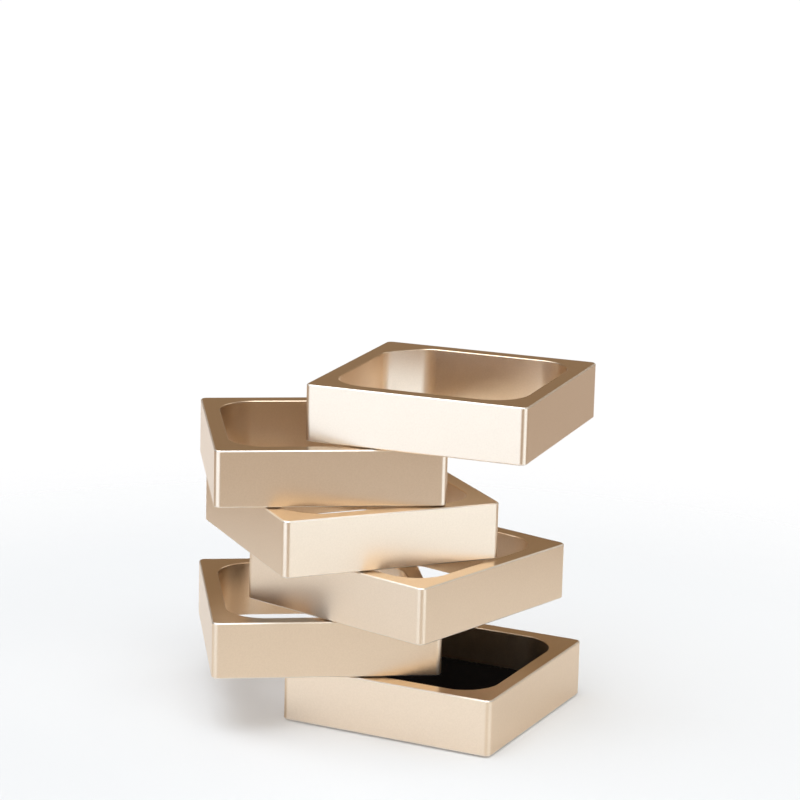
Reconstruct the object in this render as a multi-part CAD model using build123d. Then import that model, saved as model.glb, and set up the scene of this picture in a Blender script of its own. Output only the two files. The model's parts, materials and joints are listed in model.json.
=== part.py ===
from build123d import *
import math
import os

# A swivel pen holder: square frames stacked on one corner bolt, the lowest one with a floor.
# Millimetres, +Z up. The origin is the middle of the face that the holder stands on.
# The base's sides run along X and Y, and the pivot corner of the base is at -X, +Y.

# Frames
FRAME_SIDE = 60.0
FRAME_HEIGHT = 15.0
WALL = 4.4
OUTER_CORNER_RADIUS = 1.75
INNER_CORNER_RADIUS = 10.0
EDGE_CHAMFER = 0.3
OPENING_CHAMFER = 0.2

# Pivot corner: the bolt's distance from both outer faces, and the metal inside of the bolt
PIVOT_INSET = 6.0
PIVOT_WEB = 4.25
WEB_BLEND_RADIUS = 6.0

# Stack, from the bottom up: how far each layer is turned from the base, in degrees
LAYER_TURNS = [0.0, -56.8, -13.9, -40.8, -56.7, 5.5]
LAYER_GAP = 0.25

# Base
FLOOR_THICKNESS = 4.0
LINER_THICKNESS = 1.0
LINER_CLEARANCE = 0.2
PAD_THICKNESS = 1.0
PAD_STAND_OFF = 0.5
PAD_MARGIN = 1.5
PAD_CORNER_RADIUS = 2.0
PAD_CLEARANCE = 0.1

# Pivot bolt
BOLT_DIAMETER = 4.0
BOLT_HEAD_DIAMETER = 7.0
BOLT_HEAD_HEIGHT = 2.0
BOLT_EDGE_CHAMFER = 0.3
SOCKET_ACROSS_FLATS = 2.5
SOCKET_DEPTH = 1.3
THREAD_ENGAGEMENT = 9.0
THREAD_CLEARANCE = 0.02
BLIND_HOLE_SPARE = 1.0
DRILL_POINT_ANGLE = 118.0

# Bushes, spacers, washer and spring on the bolt
BUSH_WALL = 0.75
RUNNING_CLEARANCE = 0.05
SPACER_DIAMETER = 7.4
SPACER_THICKNESS = 0.75
SPACER_CLEARANCE = 0.05
HEAD_WASHER_THICKNESS = 0.5
SPRING_THICKNESS = 0.4
SPRING_CONE_HEIGHT = 0.2
HEAD_CLEARANCE = 0.2
HEAD_SIDE_CLEARANCE = 0.25

# Heights worked out from the sizes above
LAYER_PITCH = FRAME_HEIGHT + LAYER_GAP
TOP_LAYER = len(LAYER_TURNS) - 1
BASE_TOP = PAD_STAND_OFF + FRAME_HEIGHT
FLOOR_TOP = PAD_STAND_OFF + FLOOR_THICKNESS
SPACER_RECESS = SPACER_THICKNESS - LAYER_GAP
HEAD_BOTTOM = PAD_THICKNESS + HEAD_CLEARANCE
HEAD_TOP = HEAD_BOTTOM + BOLT_HEAD_HEIGHT
WASHER_BOTTOM = HEAD_TOP + SPRING_CONE_HEIGHT + SPRING_THICKNESS
HEAD_SHOULDER = WASHER_BOTTOM + HEAD_WASHER_THICKNESS

# Radii worked out from the sizes above
BOLT_RADIUS = BOLT_DIAMETER / 2
HEAD_RADIUS = BOLT_HEAD_DIAMETER / 2
BUSH_BORE_RADIUS = BOLT_RADIUS + RUNNING_CLEARANCE
BUSH_RADIUS = BUSH_BORE_RADIUS + BUSH_WALL
SPACER_RADIUS = SPACER_DIAMETER / 2
TAPPED_RADIUS = BOLT_RADIUS + THREAD_CLEARANCE
HEAD_RECESS_RADIUS = HEAD_RADIUS + HEAD_SIDE_CLEARANCE

# The pivot axis, and the direction in which the base's first side leaves it
PIVOT_X = PIVOT_INSET - FRAME_SIDE / 2
PIVOT_Y = FRAME_SIDE / 2 - PIVOT_INSET
BASE_HEADING = -90.0


def layer_bottom(layer):
    """Height of the underside of a layer, counted from 0 for the base."""
    return PAD_STAND_OFF + layer * LAYER_PITCH


def rounded_outline(points, radii):
    """A closed outline through the points, with each corner rounded by its own radius."""
    outline = make_face(Polyline(*points, close=True))
    for point, radius in zip(points, radii):
        corner = outline.vertices().sort_by_distance((point[0], point[1], 0))[0]
        outline = fillet(corner, radius)
    return outline


def frame_outline():
    """The outside of a frame, with the pivot axis at the origin and the frame in +X, +Y."""
    near = -PIVOT_INSET
    far = FRAME_SIDE - PIVOT_INSET
    points = [(near, near), (far, near), (far, far), (near, far)]
    return rounded_outline(points, [OUTER_CORNER_RADIUS] * len(points))


def opening_outline(inset=0.0):
    """The inside of a frame, drawn in by inset: three round corners and a slanted web at the bolt."""
    near = WALL - PIVOT_INSET + inset
    far = FRAME_SIDE - PIVOT_INSET - WALL - inset
    web_end = math.sqrt(2) * (PIVOT_WEB + inset) - near
    round_corner = INNER_CORNER_RADIUS - inset
    web_corner = WEB_BLEND_RADIUS - inset
    points = [(web_end, near), (far, near), (far, far), (near, far), (near, web_end)]
    return rounded_outline(points, [web_corner, round_corner, round_corner, round_corner, web_corner])


def bore(radius, low, high):
    """A round cutter or sleeve body on the pivot axis between two heights."""
    return Pos(0, 0, low) * extrude(Circle(radius), high - low)


def ring(outer_radius, inner_radius, low, high):
    """A flat ring or sleeve on the pivot axis."""
    return bore(outer_radius, low, high) - bore(inner_radius, low, high)


def runs_round_opening(edge):
    """Whether an edge of a frame's flat faces lies on the inner half of its wall."""
    middle = edge @ 0.5
    near = WALL / 2 - PIVOT_INSET
    far = FRAME_SIDE - PIVOT_INSET - WALL / 2
    return min(middle.X, middle.Y) > near and max(middle.X, middle.Y) < far


def square_frame(low):
    """A plain frame standing at a height, with its sharp edges broken, less so round the opening."""
    body = extrude(frame_outline() - opening_outline(), FRAME_HEIGHT)
    edges = body.faces().filter_by(Axis.Z).edges()
    body = chamfer(edges.filter_by(runs_round_opening), OPENING_CHAMFER)
    edges = body.faces().filter_by(Axis.Z).edges()
    body = chamfer(edges.filter_by(runs_round_opening, reverse=True), EDGE_CHAMFER)
    return Pos(0, 0, low) * body


def base_tray():
    """The lowest frame, with a floor, a recess for the foot pad and a seat for the bolt's head."""
    tray = square_frame(PAD_STAND_OFF)
    tray += Pos(0, 0, PAD_STAND_OFF) * extrude(opening_outline(-WALL / 2), FLOOR_THICKNESS)
    tray -= Pos(0, 0, PAD_STAND_OFF) * extrude(pad_outline(PAD_CLEARANCE), PAD_THICKNESS - PAD_STAND_OFF)
    tray -= bore(HEAD_RECESS_RADIUS, PAD_STAND_OFF, HEAD_SHOULDER)
    tray -= bore(BUSH_RADIUS, HEAD_SHOULDER, BASE_TOP)
    return tray


def pad_outline(grow=0.0):
    """The foot pad's outline, which stays a margin inside the base's sides."""
    near = PAD_MARGIN - PIVOT_INSET - grow
    far = FRAME_SIDE - PIVOT_INSET - PAD_MARGIN + grow
    points = [(near, near), (far, near), (far, far), (near, far)]
    return rounded_outline(points, [PAD_CORNER_RADIUS + grow] * len(points))


def foot_pad():
    """A flat pad under the base, which also covers the bolt's head."""
    return extrude(pad_outline(), PAD_THICKNESS)


def base_liner():
    """A soft sheet on the floor of the base."""
    return Pos(0, 0, FLOOR_TOP) * extrude(opening_outline(LINER_CLEARANCE), LINER_THICKNESS)


def middle_frame(layer):
    """A frame with a bore for its bush and a recess under it for its spacer."""
    low = layer_bottom(layer)
    body = square_frame(low)
    body -= bore(BUSH_RADIUS, low, low + FRAME_HEIGHT)
    body -= bore(SPACER_RADIUS + SPACER_CLEARANCE, low, low + SPACER_RECESS)
    return body


def top_frame(layer):
    """The top frame: the bolt ends in a blind tapped hole, so its upper face is clean."""
    low = layer_bottom(layer)
    hole_end = low + THREAD_ENGAGEMENT + BLIND_HOLE_SPARE
    point_height = TAPPED_RADIUS / math.tan(math.radians(DRILL_POINT_ANGLE / 2))
    body = square_frame(low)
    body -= bore(TAPPED_RADIUS, low, hole_end)
    body -= Pos(0, 0, hole_end + point_height / 2) * Cone(TAPPED_RADIUS, 0, point_height)
    body -= bore(SPACER_RADIUS + SPACER_CLEARANCE, low, low + SPACER_RECESS)
    return body


def bush(low, high):
    """A plain sleeve pressed into a frame, in which the bolt turns."""
    return ring(BUSH_RADIUS, BUSH_BORE_RADIUS, low, high)


def spacer(layer):
    """A thin ring seated under a frame, which holds it clear of the frame below."""
    high = layer_bottom(layer) + SPACER_RECESS
    return ring(SPACER_RADIUS, BUSH_BORE_RADIUS, high - SPACER_THICKNESS, high)


def pivot_bolt():
    """A long bolt with a low round head, from under the base into the top frame."""
    tip = layer_bottom(TOP_LAYER) + THREAD_ENGAGEMENT
    head = bore(HEAD_RADIUS, HEAD_BOTTOM, HEAD_TOP)
    head = chamfer(head.edges().group_by(Axis.Z)[0], BOLT_EDGE_CHAMFER)
    shank = bore(BOLT_RADIUS, HEAD_TOP, tip)
    shank = chamfer(shank.edges().group_by(Axis.Z)[-1], BOLT_EDGE_CHAMFER)
    socket_outline = RegularPolygon(SOCKET_ACROSS_FLATS / 2, 6, major_radius=False)
    socket = Pos(0, 0, HEAD_BOTTOM) * extrude(socket_outline, SOCKET_DEPTH)
    return head + shank - socket


def head_washer():
    """A flat washer against the base, above the spring."""
    return ring(HEAD_RADIUS, BUSH_BORE_RADIUS, WASHER_BOTTOM, HEAD_SHOULDER)


def disc_spring():
    """A shallow cone that presses the washer away from the bolt's head."""
    inner = BUSH_BORE_RADIUS
    outer = HEAD_RADIUS - BOLT_EDGE_CHAMFER
    foot = HEAD_TOP
    crown = HEAD_TOP + SPRING_CONE_HEIGHT
    points = [
        (inner, 0, crown),
        (outer, 0, foot),
        (outer, 0, foot + SPRING_THICKNESS),
        (inner, 0, crown + SPRING_THICKNESS),
    ]
    section = make_face(Polyline(*points, close=True))
    return revolve(section, Axis.Z)


def place(shape, layer):
    """Turn a shape made on the pivot axis to its layer's heading and move it to the pivot corner."""
    heading = BASE_HEADING + LAYER_TURNS[layer]
    return Pos(PIVOT_X, PIVOT_Y, 0) * Rot(0, 0, heading) * shape


def layer_nodes(layer):
    """The pieces of one open frame: the frame, its spacer and, below the top, its bush."""
    name = f"frame_{layer + 1}"
    low = layer_bottom(layer)
    nodes = {f"spacer_{layer + 1}": spacer(layer)}
    if layer == TOP_LAYER:
        nodes[name] = top_frame(layer)
        nodes["pivot_bolt"] = pivot_bolt()
        nodes["disc_spring"] = disc_spring()
    else:
        nodes[name] = middle_frame(layer)
        nodes[f"{name}_bush"] = bush(low + SPACER_RECESS, low + FRAME_HEIGHT)
    return nodes


def base_nodes():
    """The pieces of the base."""
    return {
        "base_tray": base_tray(),
        "base_liner": base_liner(),
        "foot_pad": foot_pad(),
        "base_bush": bush(HEAD_SHOULDER, BASE_TOP),
        "head_washer": head_washer(),
    }


def main():
    os.makedirs("parts", exist_ok=True)
    for layer in range(len(LAYER_TURNS)):
        nodes = base_nodes() if layer == 0 else layer_nodes(layer)
        for name, shape in nodes.items():
            export_step(place(shape, layer), f"parts/{name}.step")


main()
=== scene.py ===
import json
import math

import bmesh
import bpy
from mathutils import Matrix, Vector
from mathutils.geometry import tessellate_polygon


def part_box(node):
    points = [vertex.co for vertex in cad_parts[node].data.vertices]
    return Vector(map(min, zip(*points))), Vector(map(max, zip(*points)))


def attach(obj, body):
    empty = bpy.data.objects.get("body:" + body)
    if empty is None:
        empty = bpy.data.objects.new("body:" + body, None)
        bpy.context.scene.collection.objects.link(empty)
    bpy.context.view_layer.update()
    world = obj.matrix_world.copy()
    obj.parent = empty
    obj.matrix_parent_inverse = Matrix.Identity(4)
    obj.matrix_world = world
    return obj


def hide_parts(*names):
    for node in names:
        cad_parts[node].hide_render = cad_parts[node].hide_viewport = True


# A swivel pen holder: champagne anodised frames turned about one corner bolt. Metres and degrees, +Z up.
MM = 0.001
HALF_TURN = 180.0

# Frame section, as the solids have it
WALL = 4.4 * MM
OUTER_CORNER_RADIUS = 1.75 * MM
INNER_CORNER_RADIUS = 10.0 * MM
EDGE_CHAMFER = 0.3 * MM
OPENING_CHAMFER = 0.2 * MM
CHAMFER_ANGLE = 45.0
FLOOR_THICKNESS = 4.0 * MM

# How far the ends of each chamfer are softened, in the scene alone
EDGE_SOFTENING = 0.05 * MM

# Pivot corner
PIVOT_WEB = 4.25 * MM
WEB_BLEND_RADIUS = 6.0 * MM
TAPPED_RADIUS = 2.02 * MM
BLIND_HOLE_SPARE = 1.0 * MM
DRILL_POINT_ANGLE = 118.0
SPACER_CLEARANCE = 0.05 * MM
HEAD_SIDE_CLEARANCE = 0.25 * MM

# Foam sheets in and under the base
LINER_CLEARANCE = 0.2 * MM
PAD_CORNER_RADIUS = 2.0 * MM
PAD_CLEARANCE = 0.1 * MM
FOAM_EDGE_RADIUS = 0.3 * MM

# Stack: how far each layer is turned from the base
LAYER_TURNS = {
    "base_tray": 0.0,
    "frame_2": -56.8,
    "frame_3": -13.9,
    "frame_4": -40.8,
    "frame_5": -56.7,
    "frame_6": 5.5,
}
BASE_HEADING = -90.0
TOP_FRAME = "frame_6"

# Steps along the rounded corners and edges, and the angle from which an edge is drawn sharp
OUTER_CORNER_STEPS = 16
INNER_CORNER_STEPS = 28
WEB_CORNER_STEPS = 12
BORE_STEPS = 48
SOFTENING_STEPS = 2
FOAM_EDGE_STEPS = 4
SHARP_ANGLE = 40.0

# Material slots of a frame: its satin faces and its bright edges, whose paler colour is partly a painted highlight
SATIN_SLOT = 0
BRIGHT_SLOT = 1

# The part of a noise's range over which a material changes
NOISE_LOW = 0.3
NOISE_HIGH = 0.7
NOISE_DETAIL = 2.0

# Anodised aluminium
ALUMINIUM_COLOURS = ((0.850, 0.676, 0.497), (0.884, 0.708, 0.527))
ALUMINIUM_ROUGHNESS = (0.28, 0.32)
ALUMINIUM_GRAIN_SIZE = 0.42 * MM
ALUMINIUM_GRAIN_DEPTH = 0.004 * MM
ALUMINIUM_CLOUD_SIZE = 14.0 * MM
ALUMINIUM_CLOUD_SHARE = 0.15

# Bright cut edges: a paler cut finish, and partly a painted highlight along every edge
EDGE_FINISH_AND_PAINTED_HIGHLIGHT_COLOURS = ((0.95, 0.86, 0.74), (0.98, 0.90, 0.80))
EDGE_ROUGHNESS = (0.42, 0.50)
EDGE_GRAIN_SIZE = 0.8 * MM

# Black foam
FOAM_COLOURS = ((0.002, 0.002, 0.002), (0.007, 0.006, 0.006))
FOAM_ROUGHNESS = (0.85, 0.98)
FOAM_SPECULAR = 0.05
FOAM_CELL_SIZE = 0.5 * MM
FOAM_CELL_DEPTH = 0.12 * MM
FOAM_CELL_DETAIL = 3.0

# Black bearing plastic
POLYMER_COLOURS = ((0.012, 0.012, 0.013), (0.022, 0.022, 0.023))
POLYMER_ROUGHNESS = (0.42, 0.55)
POLYMER_SKIN_SIZE = 0.25 * MM
POLYMER_SKIN_DEPTH = 0.008 * MM

# Plated steel
STEEL_COLOURS = ((0.56, 0.57, 0.60), (0.68, 0.69, 0.71))
STEEL_ROUGHNESS = (0.22, 0.38)
STEEL_CLOUD_SIZE = 0.9 * MM
STEEL_CLOUD_DEPTH = 0.006 * MM
STEEL_CLOUD_DETAIL = 4.0

# Camera, as the photograph was taken
CAMERA_AZIMUTH = 25.8
CAMERA_ELEVATION = 13.06
CAMERA_ROLL = 1.478
CAMERA_DISTANCE = 814.6 * MM
CAMERA_LENS = 134.17
CAMERA_SENSOR = 36.0
TARGET_HEIGHT = 76.97 * MM
TARGET_RIGHT = 0.14 * MM

# Directions round the object, counted from the camera's side to the right
CAMERA_SIDE = 0.0
RIGHT_SIDE = 90.0

# Floor: a pale disc that fades into the surroundings
FLOOR_CENTRE = (-18.5 * MM, -8.0 * MM)
FLOOR_FADE_START = 140.0 * MM
FLOOR_FADE_END = 300.0 * MM
FLOOR_RADIUS = 320.0 * MM
FLOOR_STEPS = 96
FLOOR_COLOUR = (0.925, 0.935, 0.94)
FLOOR_ROUGHNESS = 0.9
FLOOR_SPECULAR = 0.0
FLOOR_CLEARNESS = 0.2

# Studio: a dim room and soft lights in it, each a window from low to high with soft edges. A light that
# reaches one of the next three limits has no edge there, because they lie past the ends of the scale.
ALL_ROUND = 200.0
FAR_BELOW = -120.0
FAR_ABOVE = 120.0
ROOM_COLOUR = (0.07, 0.05, 0.035)
SOFT_LIGHTS = {
    "surround": {
        "azimuth": 0.0, "half_width": ALL_ROUND, "low": FAR_BELOW, "high": 0.0, "edge": 8.0,
        "colour": (0.42, 0.352, 0.295),
    },
    "left": {
        "azimuth": -48.0, "half_width": 31.0, "low": -30.0, "high": 18.0, "edge": 14.0,
        "colour": (0.79, 1.11, 1.56),
    },
    "right": {
        "azimuth": 57.0, "half_width": 26.0, "low": -36.0, "high": 15.0, "edge": 20.0,
        "colour": (0.76, 1.06, 1.42),
    },
    "sweep": {
        "azimuth": 180.0, "half_width": 30.0, "low": -80.0, "high": 2.0, "edge": 6.0,
        "colour": (0.52, 0.605, 0.68),
    },
    "glow": {
        "azimuth": 180.0, "half_width": 45.0, "low": 0.0, "high": 36.0, "edge": 14.0,
        "colour": (0.195, 0.125, 0.06),
    },
    "rim": {
        "azimuth": 121.0, "half_width": 20.0, "low": 26.0, "high": 50.0, "edge": 10.0,
        "colour": (0.95, 0.91, 0.82),
    },
    "front": {
        "azimuth": 18.0, "half_width": 58.0, "low": 11.0, "high": 32.0, "edge": 10.0,
        "colour": (1.32, 1.25, 1.07),
    },
    "key": {
        "azimuth": -45.0, "half_width": 90.0, "low": 46.0, "high": FAR_ABOVE, "edge": 14.0,
        "colour": (2.07, 2.2, 2.36),
    },
    "zenith": {
        "azimuth": 0.0, "half_width": ALL_ROUND, "low": 62.0, "high": FAR_ABOVE, "edge": 14.0,
        "colour": (1.08, 1.1, 1.1),
    },
}


def corner_arcs(corners, radii, steps):
    """The round corners of a convex anticlockwise outline: centre, radius, start, sweep and steps."""
    arcs = []
    count = len(corners)
    for i in range(count):
        before = Vector(corners[i - 1])
        here = Vector(corners[i])
        after = Vector(corners[(i + 1) % count])
        arriving = (here - before).normalized()
        leaving = (after - here).normalized()
        inward = Vector((-arriving.y, arriving.x))
        sweep = math.acos(max(-1.0, min(1.0, arriving.dot(leaving))))
        centre = here - arriving * radii[i] * math.tan(sweep / 2) + inward * radii[i]
        start = math.atan2(-inward.y, -inward.x)
        arcs.append((centre, radii[i], start, sweep, steps[i]))
    return arcs


def square_arcs(near, far, radius):
    """The round corners of a square that runs from near to far both ways."""
    corners = [(near, near), (far, near), (far, far), (near, far)]
    count = len(corners)
    return corner_arcs(corners, [radius] * count, [OUTER_CORNER_STEPS] * count)


def loop(arcs, inset):
    """Points of an outline drawn in by inset. Its round corners keep their centres."""
    points = []
    for centre, radius, start, sweep, steps in arcs:
        for step in range(steps + 1):
            angle = start + sweep * step / steps
            points.append(centre + Vector((math.cos(angle), math.sin(angle))) * (radius - inset))
    return points


def circle(radius, steps=BORE_STEPS):
    """Points of a round rim about the origin."""
    points = []
    for step in range(steps):
        angle = 2 * math.pi * step / steps
        points.append(Vector((math.cos(angle), math.sin(angle))) * radius)
    return points


def broken_edge(chamfer):
    """A chamfer with softened ends, from flat to wall: (distance in from the wall, from the flat)."""
    turn = math.radians(CHAMFER_ANGLE)
    reach = chamfer + EDGE_SOFTENING
    radius = EDGE_SOFTENING / math.tan(turn / 2)
    half = []
    for step in range(SOFTENING_STEPS + 1):
        angle = turn * step / SOFTENING_STEPS
        half.append((reach - radius * math.sin(angle), radius * (1 - math.cos(angle))))
    return half + [(down, along) for along, down in reversed(half)]


def round_edge(radius):
    """A rounded edge from flat to wall: (distance in from the wall, from the flat)."""
    profile = []
    for step in range(FOAM_EDGE_STEPS + 1):
        angle = math.pi / 2 * step / FOAM_EDGE_STEPS
        profile.append((radius * (1 - math.sin(angle)), radius * (1 - math.cos(angle))))
    return profile


class Shell:
    """A closed surface made of rings of points, the walls between them and flat caps."""

    def __init__(self):
        self.mesh = bmesh.new()

    def ring(self, points, height):
        """A ring of vertices over an outline."""
        return [self.mesh.verts.new((p.x, p.y, height)) for p in points]

    def wall(self, rings, slot=SATIN_SLOT):
        """Faces from each ring to the next."""
        for low, high in zip(rings, rings[1:]):
            count = len(low)
            for i in range(count):
                after = (i + 1) % count
                face = self.mesh.faces.new((low[i], low[after], high[after], high[i]))
                face.material_index = slot

    def edged_wall(self, arcs, low, high, low_edge, high_edge, side=1.0, edge_slot=SATIN_SLOT):
        """A wall with an edge profile at each end. Side is 1 on an outside and -1 round an opening."""
        lower = [self.ring(loop(arcs, side * inset), low + rise) for inset, rise in low_edge]
        upper = [self.ring(loop(arcs, side * inset), high - drop) for inset, drop in reversed(high_edge)]
        self.wall(lower, edge_slot)
        self.wall([lower[-1], upper[0]])
        self.wall(upper, edge_slot)
        return lower[0], upper[-1]

    def bore(self, radius, low, high):
        """A round wall on the pivot axis. Gives its lower and upper rims."""
        rings = [self.ring(circle(radius), low), self.ring(circle(radius), high)]
        self.wall(rings)
        return rings

    def cap(self, outer, *holes):
        """A flat face inside one ring, round the holes in it."""
        rings = [outer, *holes]
        verts = [v for ring in rings for v in ring]
        for a, b, c in tessellate_polygon([[v.co for v in ring] for ring in rings]):
            self.mesh.faces.new((verts[a], verts[b], verts[c]))

    def point(self, ring, height):
        """A cone from a ring to a tip on the pivot axis."""
        tip = self.mesh.verts.new((0.0, 0.0, height))
        count = len(ring)
        for i in range(count):
            self.mesh.faces.new((ring[i], ring[(i + 1) % count], tip))

    def finish(self, name, matrix, *materials):
        """The object that this surface makes, moved to its place."""
        bmesh.ops.recalc_face_normals(self.mesh, faces=self.mesh.faces)
        self.mesh.transform(matrix)
        data = bpy.data.meshes.new(name)
        self.mesh.to_mesh(data)
        self.mesh.free()
        for polygon in data.polygons:
            polygon.use_smooth = True
        data.set_sharp_from_angle(angle=math.radians(SHARP_ANGLE))
        for material in materials:
            data.materials.append(material)
        piece = bpy.data.objects.new(name, data)
        bpy.context.scene.collection.objects.link(piece)
        normals = piece.modifiers.new("flat_faces_stay_flat", "WEIGHTED_NORMAL")
        normals.keep_sharp = True
        return piece


class Graph:
    """Short forms for wiring shader nodes."""

    def __init__(self, tree):
        self.nodes = tree.nodes
        self.links = tree.links

    def node(self, kind, **settings):
        """A new node with some of its settings."""
        made = self.nodes.new("ShaderNode" + kind)
        for key, value in settings.items():
            setattr(made, key, value)
        return made

    def feed(self, socket, value):
        """Sets a socket, or links another socket to it."""
        if isinstance(value, bpy.types.NodeSocket):
            self.links.new(value, socket)
        else:
            socket.default_value = value

    def maths(self, operation, *values):
        """A sum on numbers."""
        made = self.node("Math", operation=operation)
        for socket, value in zip(made.inputs, values):
            self.feed(socket, value)
        return made.outputs["Value"]

    def vector_maths(self, operation, output, *values):
        """A sum on vectors, which gives a vector or a value."""
        made = self.node("VectorMath", operation=operation)
        for socket, value in zip(made.inputs, values):
            self.feed(socket, value)
        return made.outputs[output]

    def ramp(self, value, start, end, low=0.0, high=1.0):
        """Low at start and high at end, smooth between them and held outside them."""
        made = self.node("MapRange", interpolation_type="SMOOTHSTEP")
        self.feed(made.inputs["Value"], value)
        made.inputs["From Min"].default_value = start
        made.inputs["From Max"].default_value = end
        made.inputs["To Min"].default_value = low
        made.inputs["To Max"].default_value = high
        return made.outputs["Result"]

    def noise(self, coords, size, detail=NOISE_DETAIL):
        """Noise whose grains are about this size."""
        made = self.node("TexNoise")
        self.feed(made.inputs["Vector"], coords)
        made.inputs["Scale"].default_value = 1.0 / size
        made.inputs["Detail"].default_value = detail
        return made.outputs["Fac"]

    def colour(self, shader, texture, colours):
        """A base colour that a texture varies between two colours."""
        made = self.node("Mix", data_type="RGBA")
        self.feed(made.inputs["Factor"], self.ramp(texture, NOISE_LOW, NOISE_HIGH))
        for name, colour in zip(("A", "B"), colours):
            made.inputs[name].default_value = (*colour, 1.0)
        self.links.new(made.outputs["Result"], shader.inputs["Base Color"])

    def roughness(self, shader, texture, limits):
        """A roughness that a texture varies between two limits."""
        self.links.new(self.ramp(texture, NOISE_LOW, NOISE_HIGH, *limits), shader.inputs["Roughness"])

    def bump(self, shader, texture, depth):
        """A relief of this depth."""
        made = self.node("Bump")
        made.inputs["Strength"].default_value = 1.0
        made.inputs["Distance"].default_value = depth
        self.feed(made.inputs["Height"], texture)
        self.links.new(made.outputs["Normal"], shader.inputs["Normal"])


def new_material(name):
    """A node material with its graph, its Principled shader and its object coordinates."""
    material = bpy.data.materials.new(name)
    material.use_nodes = True
    graph = Graph(material.node_tree)
    shader = graph.nodes["Principled BSDF"]
    coords = graph.node("TexCoord").outputs["Object"]
    return material, graph, shader, coords


def anodised_aluminium():
    """Champagne anodised aluminium with a fine bead-blasted grain."""
    material, graph, shader, coords = new_material("champagne_anodised_aluminium")
    grain = graph.noise(coords, ALUMINIUM_GRAIN_SIZE)
    cloud = graph.noise(coords, ALUMINIUM_CLOUD_SIZE)
    cloud_part = graph.maths("MULTIPLY", cloud, ALUMINIUM_CLOUD_SHARE)
    mottle = graph.maths("MULTIPLY_ADD", grain, 1.0 - ALUMINIUM_CLOUD_SHARE, cloud_part)
    graph.colour(shader, mottle, ALUMINIUM_COLOURS)
    graph.roughness(shader, grain, ALUMINIUM_ROUGHNESS)
    graph.bump(shader, grain, ALUMINIUM_GRAIN_DEPTH)
    shader.inputs["Metallic"].default_value = 1.0
    return material


def cut_edge_painted_highlight():
    """The cut edges of the frames, paler than their faces: partly a bright-cut finish, partly a painted highlight
    along every edge.
    """
    material, graph, shader, coords = new_material("bright_cut_edge_and_painted_highlight")
    grain = graph.noise(coords, EDGE_GRAIN_SIZE)
    # Paler edge colour: partly the cut finish, partly a painted highlight along every edge
    graph.colour(shader, grain, EDGE_FINISH_AND_PAINTED_HIGHLIGHT_COLOURS)
    graph.roughness(shader, grain, EDGE_ROUGHNESS)
    shader.inputs["Metallic"].default_value = 1.0
    return material


def black_foam():
    """Black foam sheet with a fine cellular skin."""
    material, graph, shader, coords = new_material("black_foam")
    cells = graph.noise(coords, FOAM_CELL_SIZE, FOAM_CELL_DETAIL)
    graph.colour(shader, cells, FOAM_COLOURS)
    graph.roughness(shader, cells, FOAM_ROUGHNESS)
    graph.bump(shader, cells, FOAM_CELL_DEPTH)
    shader.inputs["Specular IOR Level"].default_value = FOAM_SPECULAR
    return material


def black_polymer():
    """Black bearing plastic with a faint moulded texture."""
    material, graph, shader, coords = new_material("black_polymer")
    skin = graph.noise(coords, POLYMER_SKIN_SIZE)
    graph.colour(shader, skin, POLYMER_COLOURS)
    graph.roughness(shader, skin, POLYMER_ROUGHNESS)
    graph.bump(shader, skin, POLYMER_SKIN_DEPTH)
    return material


def plated_steel():
    """Zinc plated steel with a slightly cloudy gloss."""
    material, graph, shader, coords = new_material("plated_steel")
    cloud = graph.noise(coords, STEEL_CLOUD_SIZE, STEEL_CLOUD_DETAIL)
    graph.colour(shader, cloud, STEEL_COLOURS)
    graph.roughness(shader, cloud, STEEL_ROUGHNESS)
    graph.bump(shader, cloud, STEEL_CLOUD_DEPTH)
    shader.inputs["Metallic"].default_value = 1.0
    return material


def pale_floor():
    """A plain pale floor, slightly clear round the object and wholly clear at its rim."""
    material, graph, shader, coords = new_material("pale_floor")
    shader.inputs["Base Color"].default_value = (*FLOOR_COLOUR, 1.0)
    shader.inputs["Roughness"].default_value = FLOOR_ROUGHNESS
    shader.inputs["Specular IOR Level"].default_value = FLOOR_SPECULAR
    distance = graph.vector_maths("DISTANCE", "Value", coords, (*FLOOR_CENTRE, 0.0))
    fade = graph.ramp(distance, FLOOR_FADE_START, FLOOR_FADE_END, FLOOR_CLEARNESS, 1.0)
    mix = graph.node("MixShader")
    fade_socket, solid_socket, clear_socket = mix.inputs
    graph.links.new(fade, fade_socket)
    graph.links.new(shader.outputs["BSDF"], solid_socket)
    graph.links.new(graph.node("BsdfTransparent").outputs["BSDF"], clear_socket)
    graph.links.new(mix.outputs["Shader"], graph.nodes["Material Output"].inputs["Surface"])
    return material


def node_radius(node):
    """Half the width of a round node."""
    low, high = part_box(node)
    return (high.x - low.x) / 2


def heights(node):
    """The lowest and highest level of a node."""
    low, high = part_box(node)
    return low.z, high.z


# The frame, and the sizes that are read from its nodes
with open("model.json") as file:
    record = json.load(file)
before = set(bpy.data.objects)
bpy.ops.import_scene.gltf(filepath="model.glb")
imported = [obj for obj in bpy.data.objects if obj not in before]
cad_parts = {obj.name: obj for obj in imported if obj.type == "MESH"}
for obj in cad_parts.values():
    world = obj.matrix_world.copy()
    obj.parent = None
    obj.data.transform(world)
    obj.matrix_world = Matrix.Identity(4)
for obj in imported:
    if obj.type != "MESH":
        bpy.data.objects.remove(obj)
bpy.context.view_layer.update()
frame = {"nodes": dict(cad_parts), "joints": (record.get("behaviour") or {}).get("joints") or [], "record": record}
pivot = Vector(frame["joints"][0]["pos_m"])
base_low, base_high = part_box("base_tray")
frame_side = base_high.x - base_low.x
pivot_inset = pivot.x - base_low.x
pad_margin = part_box("foot_pad")[0].x - base_low.x
bush_radius = node_radius("base_bush")
seat_radius = node_radius("spacer_2") + SPACER_CLEARANCE
seat_depth = heights("spacer_2")[1] - heights("frame_2")[0]


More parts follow.
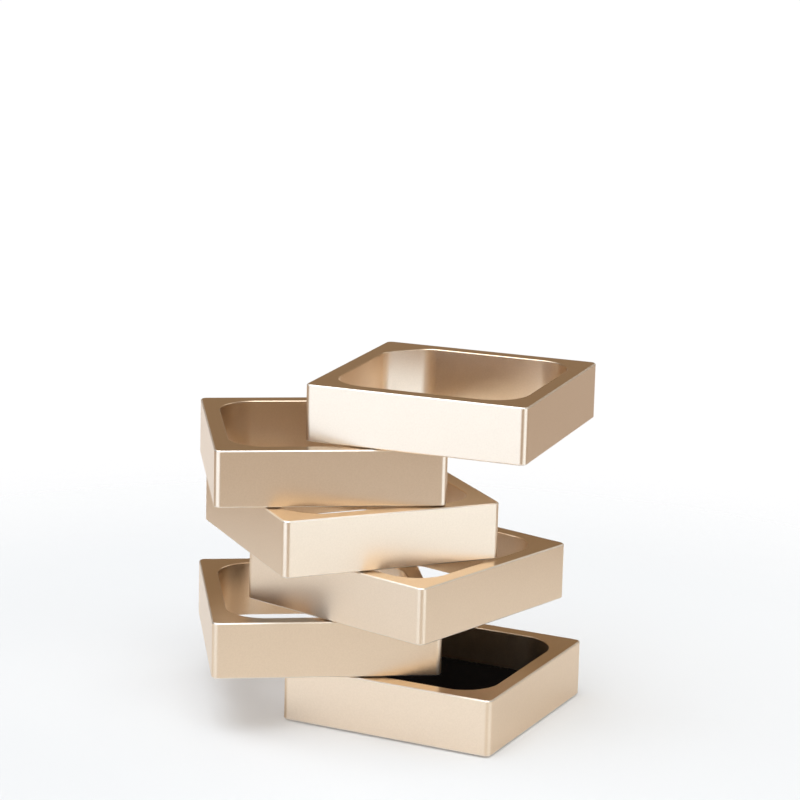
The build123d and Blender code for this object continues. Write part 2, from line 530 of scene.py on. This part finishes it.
def frame_arcs(margin=0.0, radius=OUTER_CORNER_RADIUS):
    """The outside of a frame round the pivot axis, or an outline that stays a margin inside it."""
    return square_arcs(margin - pivot_inset, frame_side - pivot_inset - margin, radius)


def opening_arcs():
    """The inside of a frame: three round corners, and a slanted web beside the bolt."""
    near = WALL - pivot_inset
    far = frame_side - pivot_inset - WALL
    web_end = math.sqrt(2) * PIVOT_WEB - near
    corners = [(web_end, near), (far, near), (far, far), (near, far), (near, web_end)]
    radii = [WEB_BLEND_RADIUS] + [INNER_CORNER_RADIUS] * 3 + [WEB_BLEND_RADIUS]
    steps = [WEB_CORNER_STEPS] + [INNER_CORNER_STEPS] * 3 + [WEB_CORNER_STEPS]
    return corner_arcs(corners, radii, steps)


def layer_matrix(node):
    """From the pivot axis to a layer's place in the stack."""
    heading = math.radians(BASE_HEADING + LAYER_TURNS[node])
    return Matrix.Translation((pivot.x, pivot.y, 0.0)) @ Matrix.Rotation(heading, 4, "Z")


def open_frame(node, satin, bright):
    """A frame that is open right through, with its spacer's seat below and its bush's bore or tapped hole."""
    low, high = heights(node)
    edge = broken_edge(EDGE_CHAMFER)
    rim = broken_edge(OPENING_CHAMFER)
    shell = Shell()
    outer_low, outer_high = shell.edged_wall(frame_arcs(), low, high, edge, edge, edge_slot=BRIGHT_SLOT)
    inner_low, inner_high = shell.edged_wall(opening_arcs(), low, high, rim, rim, side=-1.0)
    seat_low, seat_high = shell.bore(seat_radius, low, low + seat_depth)
    shell.cap(outer_low, inner_low, seat_low)
    if node == TOP_FRAME:
        hole_end = heights("pivot_bolt")[1] + BLIND_HOLE_SPARE
        point_height = TAPPED_RADIUS / math.tan(math.radians(DRILL_POINT_ANGLE / 2))
        hole_low, hole_high = shell.bore(TAPPED_RADIUS, low + seat_depth, hole_end)
        shell.point(hole_high, hole_end + point_height)
        shell.cap(outer_high, inner_high)
    else:
        hole_low, hole_high = shell.bore(bush_radius, low + seat_depth, high)
        shell.cap(outer_high, inner_high, hole_high)
    shell.cap(seat_high, hole_low)
    return shell.finish(node + "_body", layer_matrix(node), satin, bright)


def base_body(satin, bright):
    """The lowest frame with its floor, the recess for its pad and the seat of the bolt's head."""
    low, high = heights("base_tray")
    pad_top = heights("foot_pad")[1]
    shoulder = heights("head_washer")[1]
    edge = broken_edge(EDGE_CHAMFER)
    rim = broken_edge(OPENING_CHAMFER)
    square = [(0.0, 0.0)]
    shell = Shell()
    outer_low, outer_high = shell.edged_wall(frame_arcs(), low, high, edge, edge, edge_slot=BRIGHT_SLOT)
    floor_level = low + FLOOR_THICKNESS
    floor, inner_high = shell.edged_wall(opening_arcs(), floor_level, high, square, rim, side=-1.0)
    recess_arcs = frame_arcs(pad_margin - PAD_CLEARANCE, PAD_CORNER_RADIUS + PAD_CLEARANCE)
    recess_low, recess_high = shell.edged_wall(recess_arcs, low, pad_top, square, square)
    head_radius = node_radius("head_washer") + HEAD_SIDE_CLEARANCE
    head_low, head_high = shell.bore(head_radius, pad_top, shoulder)
    hole_low, hole_high = shell.bore(bush_radius, shoulder, high)
    shell.cap(outer_high, inner_high, hole_high)
    shell.cap(floor)
    shell.cap(outer_low, recess_low)
    shell.cap(recess_high, head_low)
    shell.cap(head_high, hole_low)
    return shell.finish("base_tray_body", layer_matrix("base_tray"), satin, bright)


def foam_sheet(name, node, arcs, inset, material):
    """A flat sheet of foam with rounded edges, in the place of its node."""
    low, high = heights(node)
    edge = [(inset + along, drop) for along, drop in round_edge(FOAM_EDGE_RADIUS)]
    shell = Shell()
    bottom, top = shell.edged_wall(arcs, low, high, edge, edge)
    shell.cap(bottom)
    shell.cap(top)
    return shell.finish(name, layer_matrix("base_tray"), material)


def add_frames(satin, bright):
    """The six frames, each on its own body."""
    for node in LAYER_TURNS:
        if node == "base_tray":
            piece = base_body(satin, bright)
            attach(piece, "base")
        else:
            piece = open_frame(node, satin, bright)
            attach(piece, node)
        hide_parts(node)


def add_foam(material):
    """The liner on the base's floor and the pad under the base."""
    pad_arcs = frame_arcs(pad_margin, PAD_CORNER_RADIUS)
    liner = foam_sheet("base_liner_foam", "base_liner", opening_arcs(), LINER_CLEARANCE, material)
    pad = foam_sheet("foot_pad_foam", "foot_pad", pad_arcs, 0.0, material)
    for piece, node in ((liner, "base_liner"), (pad, "foot_pad")):
        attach(piece, "base")
        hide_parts(node)


def finish_hardware(polymer, steel):
    """Finishes for the bolt and the small parts round it, whose solids stay as they are."""
    finishes = {"polymer": polymer, "steel": steel}
    for subpart in frame["record"]["subparts"]:
        if subpart["material_slot"] in finishes:
            data = frame["nodes"][subpart["node"]].data
            data.materials.clear()
            data.materials.append(finishes[subpart["material_slot"]])


def from_camera_side(azimuth, elevation=0.0):
    """The direction away from the object at an azimuth counted from the camera's side, to the right."""
    a = math.radians(CAMERA_AZIMUTH + azimuth)
    e = math.radians(elevation)
    return Vector((math.sin(a) * math.cos(e), -math.cos(a) * math.cos(e), math.sin(e)))


def add_camera():
    """The photograph's camera."""
    data = bpy.data.cameras.new("camera")
    data.lens = CAMERA_LENS
    data.sensor_width = CAMERA_SENSOR
    camera = bpy.data.objects.new("camera", data)
    bpy.context.scene.collection.objects.link(camera)
    target = Vector((pivot.x, pivot.y, TARGET_HEIGHT)) + from_camera_side(RIGHT_SIDE) * TARGET_RIGHT
    place = target + from_camera_side(CAMERA_SIDE, CAMERA_ELEVATION) * CAMERA_DISTANCE
    look = (target - place).to_track_quat("-Z", "Y").to_matrix().to_4x4()
    roll = Matrix.Rotation(math.radians(CAMERA_ROLL), 4, "Z")
    camera.matrix_world = Matrix.Translation(place) @ look @ roll
    bpy.context.scene.camera = camera


def add_floor():
    """The floor's disc."""
    points = circle(FLOOR_RADIUS, FLOOR_STEPS)
    data = bpy.data.meshes.new("floor")
    data.from_pydata([(p.x, p.y, 0.0) for p in points], [], [range(FLOOR_STEPS)])
    data.materials.append(pale_floor())
    floor = bpy.data.objects.new("floor", data)
    bpy.context.scene.collection.objects.link(floor)


def soft_window(graph, azimuth, elevation, light):
    """The share of a soft light that a direction sees: 1 in its window, 0 outside, smooth at its edges."""
    half_edge = light["edge"] / 2
    turn = graph.maths("WRAP", graph.maths("SUBTRACT", azimuth, light["azimuth"]), HALF_TURN, -HALF_TURN)
    aside = graph.maths("ABSOLUTE", turn)
    across = graph.ramp(aside, light["half_width"] + half_edge, light["half_width"] - half_edge)
    above = graph.ramp(elevation, light["low"] - half_edge, light["low"] + half_edge)
    below = graph.ramp(elevation, light["high"] + half_edge, light["high"] - half_edge)
    return graph.maths("MULTIPLY", across, graph.maths("MULTIPLY", above, below))


def add_studio():
    """A dim room with soft lights round the object, far away on all sides."""
    world = bpy.data.worlds.new("studio")
    world.use_nodes = True
    bpy.context.scene.world = world
    graph = Graph(world.node_tree)
    direction = graph.node("TexCoord").outputs["Generated"]
    toward = graph.vector_maths("DOT_PRODUCT", "Value", direction, from_camera_side(CAMERA_SIDE))
    right = graph.vector_maths("DOT_PRODUCT", "Value", direction, from_camera_side(RIGHT_SIDE))
    up = graph.vector_maths("DOT_PRODUCT", "Value", direction, (0.0, 0.0, 1.0))
    azimuth = graph.maths("DEGREES", graph.maths("ARCTAN2", right, toward))
    elevation = graph.maths("DEGREES", graph.maths("ARCSINE", up))
    total = ROOM_COLOUR
    for light in SOFT_LIGHTS.values():
        shine = graph.vector_maths("SCALE", "Vector", light["colour"])
        graph.feed(shine.node.inputs["Scale"], soft_window(graph, azimuth, elevation, light))
        total = graph.vector_maths("ADD", "Vector", total, shine)
    graph.links.new(total, graph.nodes["Background"].inputs["Color"])


add_frames(anodised_aluminium(), cut_edge_painted_highlight())
add_foam(black_foam())
finish_hardware(black_polymer(), plated_steel())
add_camera()
add_floor()
add_studio()
bpy.context.scene.view_settings.view_transform = "Standard"
